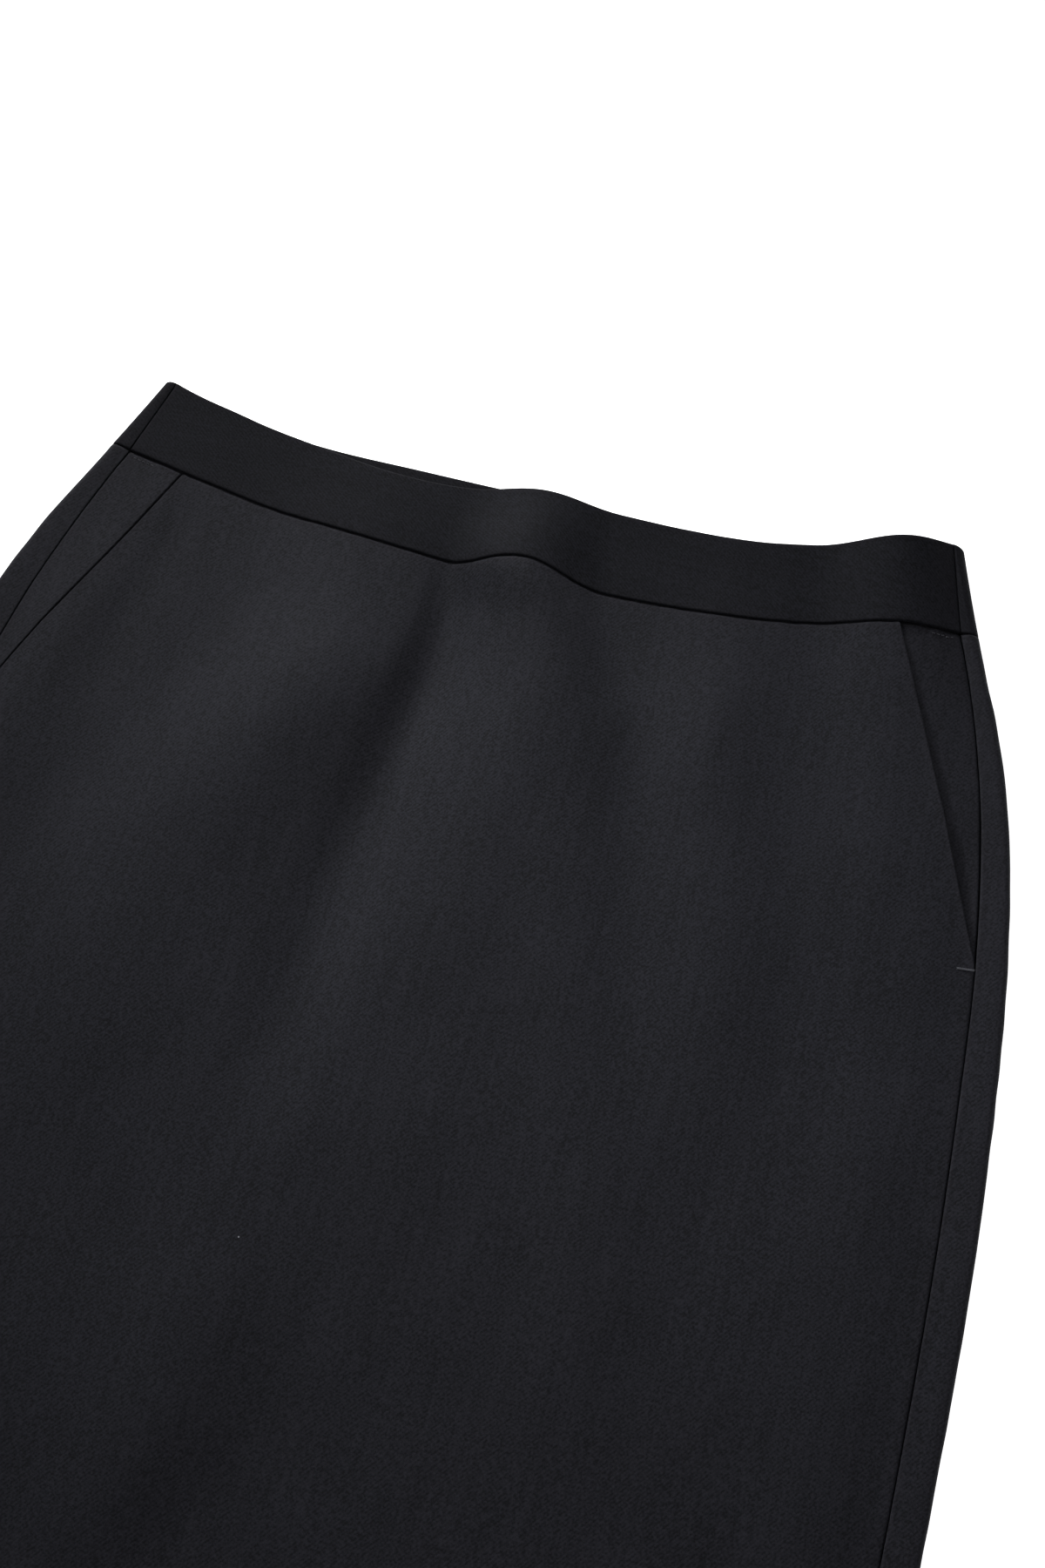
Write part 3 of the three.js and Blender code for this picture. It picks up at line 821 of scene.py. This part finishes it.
def corner_stitches(side):
    """A few small stitches under the waist seam that hold the pocket's top corner."""
    level = (YOKE_RISE if side > 0 else LEVEL_RISE) - YOKE_DROP
    paths = []
    for k in range(CORNER_STITCHES):
        start = float(seam_at(CORNER_INSET)) - CORNER_INSET - k * CORNER_PITCH
        path = []
        for share in np.linspace(0, 1, CORNER_STEPS):
            x = side * (start - share * CORNER_STITCH) + float(shift_at(CORNER_INSET))
            rise = level + CORNER_ARCH * math.sin(math.pi * share) - CORNER_SUNK
            path.append(front_point(x, CORNER_DOWN + CORNER_STAGGER * (k % 2), rise))
        paths.append(path)
    return threads(sided("corner_stitches", side), paths, CORNER_THREAD)


# Materials


def linear(code):
    """An sRGB hex value as linear red, green, blue and alpha."""
    parts = [int(code[i : i + 2], 16) / 255 for i in (1, 3, 5)]
    return [c / 12.92 if c <= 0.04045 else ((c + 0.055) / 1.055) ** 2.4 for c in parts] + [1]


def add(tree, kind, sockets=None, **settings):
    """Adds a node with its own settings. Its sockets take links or plain values."""
    node = tree.nodes.new(kind)
    for key, value in settings.items():
        setattr(node, key, value)
    for socket, value in (sockets or {}).items():
        if isinstance(value, bpy.types.NodeSocket):
            tree.links.new(value, node.inputs[socket])
        else:
            node.inputs[socket].default_value = value
    return node


def material(name):
    made = bpy.data.materials.new(name)
    made.use_nodes = True
    made.node_tree.nodes.clear()
    return made, made.node_tree


# Real sizes of the patterns. The yarns are about 0.3 mm apart and the twill's ribs 0.55 mm,
# both too fine to show, so the grain, ribs and warp are drawn coarser.
TWILL_PITCH = 1.25
TWILL_TURN = math.radians(40)  # the ribs rise to the right, 50 degrees off the weft
GRAIN_WIDTH = 1.1111
WARP_SPACING = 2.2222
WARP_LENGTH = 20  # a warp thread's tone runs on this many times its spacing
BLOTCH = 33.333
LINT_SPACING = 16.667
LINT_SHARE = 0.02  # a speck's radius, as a share of that spacing
LINT_RARITY = 0.9  # the share of the places that stay clean
PLY_TWIST = 0.38462
TAPE_RIB = 0.9
SCUFF = 1.1111
LAMINATE_GRAIN = 25
WAVE_TURN = 20  # a wave texture runs this many radians over one unit


def per_metre(size):
    """A noise's scale, from a size in millimetres."""
    return 1 / (size * MM)


def bands(pitch):
    """A wave texture's scale, from the distance between its bands in millimetres."""
    return 2 * math.pi / WAVE_TURN / (pitch * MM)


def worsted_twill(name, dark, light, shine, turn):
    """Worsted wool suiting, woven in a fine twill and pressed.

    The eye gets near black with a fine speckled grain, faint diagonal ribs, uneven warp threads
    and a dull soft sheen that lifts the bends.
    """
    made, tree = material(name)
    coordinates = add(tree, "ShaderNodeTexCoord").outputs["Object"]
    laid = add(tree, "ShaderNodeMapping", {"Vector": coordinates, "Rotation": (0, 0, turn)})
    place = laid.outputs[0]
    turned = add(tree, "ShaderNodeMapping", {"Vector": place, "Rotation": (0, 0, TWILL_TURN)})
    ribs = add(
        tree,
        "ShaderNodeTexWave",
        {
            "Vector": turned.outputs[0],
            "Scale": bands(TWILL_PITCH),
            "Distortion": 1,
            "Detail": 2,
            "Detail Scale": 1.5,
        },
    )
    grain = add(
        tree,
        "ShaderNodeTexNoise",
        {"Vector": place, "Scale": per_metre(GRAIN_WIDTH), "Detail": 2, "Roughness": 0.6},
    )
    drawn = add(tree, "ShaderNodeMapping", {"Vector": place, "Scale": (1, 1 / WARP_LENGTH, 1)})
    warp = add(
        tree,
        "ShaderNodeTexNoise",
        {"Vector": drawn.outputs[0], "Scale": per_metre(WARP_SPACING), "Detail": 2},
    )
    blotch = add(
        tree, "ShaderNodeTexNoise", {"Vector": place, "Scale": per_metre(BLOTCH), "Detail": 4}
    )
    layers = ((grain, 2.8), (ribs, 0.35), (warp, 0.6), (blotch, 0.4))
    level = 0.5 - 0.5 * sum(weight for _, weight in layers)
    for layer, weight in layers:
        level = add(
            tree,
            "ShaderNodeMath",
            {0: layer.outputs["Fac"], 1: weight, 2: level},
            operation="MULTIPLY_ADD",
        ).outputs[0]
    cloth = add(
        tree,
        "ShaderNodeMix",
        {"Factor": level, 6: linear(dark), 7: linear(light)},
        data_type="RGBA",
    )

    # a few specks of lint
    specks = add(
        tree, "ShaderNodeTexVoronoi", {"Vector": place, "Scale": per_metre(LINT_SPACING)}
    )
    small = add(
        tree,
        "ShaderNodeMath",
        {0: specks.outputs["Distance"], 1: LINT_SHARE},
        operation="LESS_THAN",
    )
    cell = add(tree, "ShaderNodeSeparateColor", {0: specks.outputs["Color"]})
    rare = add(
        tree, "ShaderNodeMath", {0: cell.outputs[0], 1: LINT_RARITY}, operation="GREATER_THAN"
    )
    lint = add(
        tree, "ShaderNodeMath", {0: small.outputs[0], 1: rare.outputs[0]}, operation="MULTIPLY"
    )
    colour = add(
        tree,
        "ShaderNodeMix",
        {"Factor": lint.outputs[0], 6: cloth.outputs[2], 7: linear("#7c7d84")},
        data_type="RGBA",
    )
    raised = add(tree, "ShaderNodeBump", {"Height": level, "Strength": 0.3, "Distance": 0.00015})
    shader = add(
        tree,
        "ShaderNodeBsdfPrincipled",
        {
            "Base Color": colour.outputs[2],
            "Normal": raised.outputs[0],
            "Roughness": 0.8,
            "IOR": 1.5,
            "Specular IOR Level": shine,
            "Sheen Weight": shine / 3,
            "Sheen Roughness": 0.45,
            "Sheen Tint": linear("#a8acb8"),
        },
    )
    add(tree, "ShaderNodeOutputMaterial", {0: shader.outputs[0]})
    return made


def polyester_painted_highlight():
    """Spun polyester sewing thread, dyed black and a little smoother than the wool; its lighter
    grey is a painted highlight.
    """
    made, tree = material("polyester thread, painted highlight")
    place = add(tree, "ShaderNodeTexCoord").outputs["Object"]
    ply = add(
        tree, "ShaderNodeTexNoise", {"Vector": place, "Scale": per_metre(PLY_TWIST), "Detail": 2}
    )
    # These lighter greys are a painted highlight on black thread.
    tone = add(
        tree,
        "ShaderNodeMix",
        {"Factor": ply.outputs["Fac"], 6: linear("#34353a"), 7: linear("#505158")},
        data_type="RGBA",
    )
    raised = add(
        tree, "ShaderNodeBump", {"Height": ply.outputs["Fac"], "Strength": 0.4, "Distance": 0.0001}
    )
    shader = add(
        tree,
        "ShaderNodeBsdfPrincipled",
        {
            "Base Color": tone.outputs[2],
            "Normal": raised.outputs[0],
            "Roughness": 0.55,
            "IOR": 1.55,
            "Specular IOR Level": 0.3,
        },
    )
    add(tree, "ShaderNodeOutputMaterial", {0: shader.outputs[0]})
    return made


def woven_nylon():
    """Woven nylon zip tape with its moulded coil: flat black with fine cross ribs."""
    made, tree = material("woven nylon zip")
    place = add(tree, "ShaderNodeTexCoord").outputs["Object"]
    ribs = add(
        tree,
        "ShaderNodeTexWave",
        {"Vector": place, "Scale": bands(TAPE_RIB), "Distortion": 0.4},
        bands_direction="Y",
    )
    tone = add(
        tree,
        "ShaderNodeMix",
        {"Factor": ribs.outputs["Fac"], 6: linear("#151517"), 7: linear("#222225")},
        data_type="RGBA",
    )
    raised = add(
        tree, "ShaderNodeBump", {"Height": ribs.outputs["Fac"], "Strength": 0.6, "Distance": 0.0003}
    )
    shader = add(
        tree,
        "ShaderNodeBsdfPrincipled",
        {
            "Base Color": tone.outputs[2],
            "Normal": raised.outputs[0],
            "Roughness": 0.6,
            "IOR": 1.53,
            "Specular IOR Level": 0.25,
        },
    )
    add(tree, "ShaderNodeOutputMaterial", {0: shader.outputs[0]})
    return made


def enamelled_zinc():
    """A die-cast zinc slider under black enamel: smooth, with a soft gloss and faint scuffs."""
    made, tree = material("black enamelled zinc")
    place = add(tree, "ShaderNodeTexCoord").outputs["Object"]
    scuffs = add(
        tree, "ShaderNodeTexNoise", {"Vector": place, "Scale": per_metre(SCUFF), "Detail": 3}
    )
    rough = add(
        tree, "ShaderNodeMapRange", {"Value": scuffs.outputs["Fac"], "To Min": 0.25, "To Max": 0.5}
    )
    shader = add(
        tree,
        "ShaderNodeBsdfPrincipled",
        {"Base Color": linear("#161618"), "Roughness": rough.outputs[0], "IOR": 1.5},
    )
    add(tree, "ShaderNodeOutputMaterial", {0: shader.outputs[0]})
    return made


def white_laminate():
    """A matt white table top, lit until it is pure white."""
    made, tree = material("white laminate")
    place = add(tree, "ShaderNodeTexCoord").outputs["Object"]
    grain = add(
        tree,
        "ShaderNodeTexNoise",
        {"Vector": place, "Scale": per_metre(LAMINATE_GRAIN), "Detail": 3},
    )
    tone = add(
        tree,
        "ShaderNodeMix",
        {"Factor": grain.outputs["Fac"], 6: linear("#f6f6f6"), 7: linear("#ffffff")},
        data_type="RGBA",
    )
    shader = add(
        tree,
        "ShaderNodeBsdfPrincipled",
        {
            "Base Color": tone.outputs[2],
            "Roughness": 0.9,
            "Specular IOR Level": 0.1,
            "Emission Color": linear("#ffffff"),
            "Emission Strength": 1,
        },
    )
    add(tree, "ShaderNodeOutputMaterial", {0: shader.outputs[0]})
    return made


# The skirt

skirt_cloth = worsted_twill("worsted wool twill", "#0e0e12", "#212127", 0.14, 0)
# The waistband's cloth is the skirt's twill turned to the cross grain. Its darker colours are
# painted shade for the duller light that the band gives back.
band_cloth_painted_shade = worsted_twill("worsted wool twill, fused, painted shade", "#0c0c0f", "#1a1a1f", 0.08, math.pi / 2)
# Black sewing thread, with its highlight painted in as a lighter grey.
thread = polyester_painted_highlight()


def dress(piece, finish, node=None):
    """Gives a piece its finish, and hides the solid that it stands for."""
    piece.data.materials.append(finish)
    if node:
        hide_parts(node)
    return piece


def lay(piece, cut, **more):
    """Reads the size that a piece of cloth lying flat was cut to, and does nothing more with it."""
    width, length, area = CUTS[cut]
    if area:
        more["area"] = area


front = dress(front_cloth(), skirt_cloth, "front_panel")
band = dress(front_band(), band_cloth_painted_shade, "front_waistband")
tacks, halves = [], []
for side in (-1, 1):
    hip = dress(yoke_cloth(side), skirt_cloth, sided("pocket_yoke", side))
    back = dress(back_cloth(side), skirt_cloth, sided("back_panel", side))
    end = dress(back_band(side), band_cloth_painted_shade, sided("back_waistband", side))
    tacks.append(dress(bar_tack(side), thread))
    corner = dress(corner_stitches(side), thread)
    halves.append((hip, back, end, corner))

for node, finish in (("zip_tape", woven_nylon()), ("zip_slider", enamelled_zinc())):
    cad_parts[node].data.materials.clear()
    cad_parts[node].data.materials.append(finish)

lay(front, "front", rests_on=["back_panel_left"], with_pieces=tacks)
lay(band, "front band", rests_on=["back_waistband_left"])
for hip, back, end, corner in halves:
    lay(hip, "hip", rests_on=[back], with_pieces=[corner])
    lay(back, "back")
    lay(end, "back band")

# The table, light and camera

TABLE_SIDE = 6  # metres
TABLE_DROP = 0.2  # the table lies this far under the skirt, so their faces don't coincide
AMBIENT = 0.2  # the room's even light

bpy.ops.mesh.primitive_grid_add(x_subdivisions=8, y_subdivisions=8, size=TABLE_SIDE)
table = bpy.context.active_object
table.name = "table"
table.location = (0, 0, -TABLE_DROP * MM)
table.data.materials.append(white_laminate())

scene = bpy.context.scene
scene.view_settings.view_transform = "Standard"
scene.world = bpy.data.worlds.new("studio")
scene.world.use_nodes = True
sky = scene.world.node_tree.nodes["Background"]
sky.inputs["Color"].default_value = linear("#ffffff")
sky.inputs["Strength"].default_value = AMBIENT


def softbox(name, azimuth, elevation, distance, aim, size, spread, power):
    """A soft light that looks at a point of the table, in metres, degrees and watts.

    Azimuth is from +X towards +Y, and spread is how wide the light fans out.
    """
    light = bpy.data.lights.new(name, "AREA")
    light.shape = "RECTANGLE"
    light.size, light.size_y = size
    light.spread = math.radians(spread)
    light.energy = power
    lamp = bpy.data.objects.new(name, light)
    a, e = math.radians(azimuth), math.radians(elevation)
    towards = Vector((math.cos(a) * math.cos(e), math.sin(a) * math.cos(e), math.sin(e)))
    lamp.location = Vector((*aim, 0)) + towards * distance
    lamp.rotation_euler = towards.to_track_quat("Z", "Y").to_euler()
    scene.collection.objects.link(lamp)


# Columns: name, azimuth, elevation, distance, aim, size, spread, power
for settings in (
    ("window", 115, 28, 1.1, (-0.03, 0.085), (0.5, 0.45), 33, 1.04),
    ("side window", 164, 28, 1.1, (0.38, 0.13), (0.4, 0.24), 28, 0.35),
    ("fill", 215, 55, 1.3, (-0.1, -0.08), (0.9, 0.9), 100, 0.8),
):
    softbox(*settings)

# The photograph's viewpoint: over the hem, a little to the right, leaning over the skirt
LENS = 48
FRAME_SIDE = 36  # the frame's long side
LEAN = math.radians(22.99)  # off straight down
TURN = math.radians(-14.47)  # the skirt's turn in the picture
DISTANCE = 868.2
AIM = Vector((22.52, WAIST_Y - 111.34, 0))

right = Vector((math.cos(TURN), -math.sin(TURN), 0))
ahead = Vector(
    (math.sin(TURN) * math.sin(LEAN), math.cos(TURN) * math.sin(LEAN), -math.cos(LEAN))
)
camera = bpy.data.objects.new("camera", bpy.data.cameras.new("camera"))
camera.data.lens = LENS
camera.data.sensor_width = FRAME_SIDE
camera.data.clip_start = 0.01
camera.matrix_world = Matrix.Translation((AIM - ahead * DISTANCE) * MM) @ Matrix(
    (right, right.cross(ahead), -ahead)
).transposed().to_4x4()
scene.collection.objects.link(camera)
scene.camera = camera

bpy.context.view_layer.update()
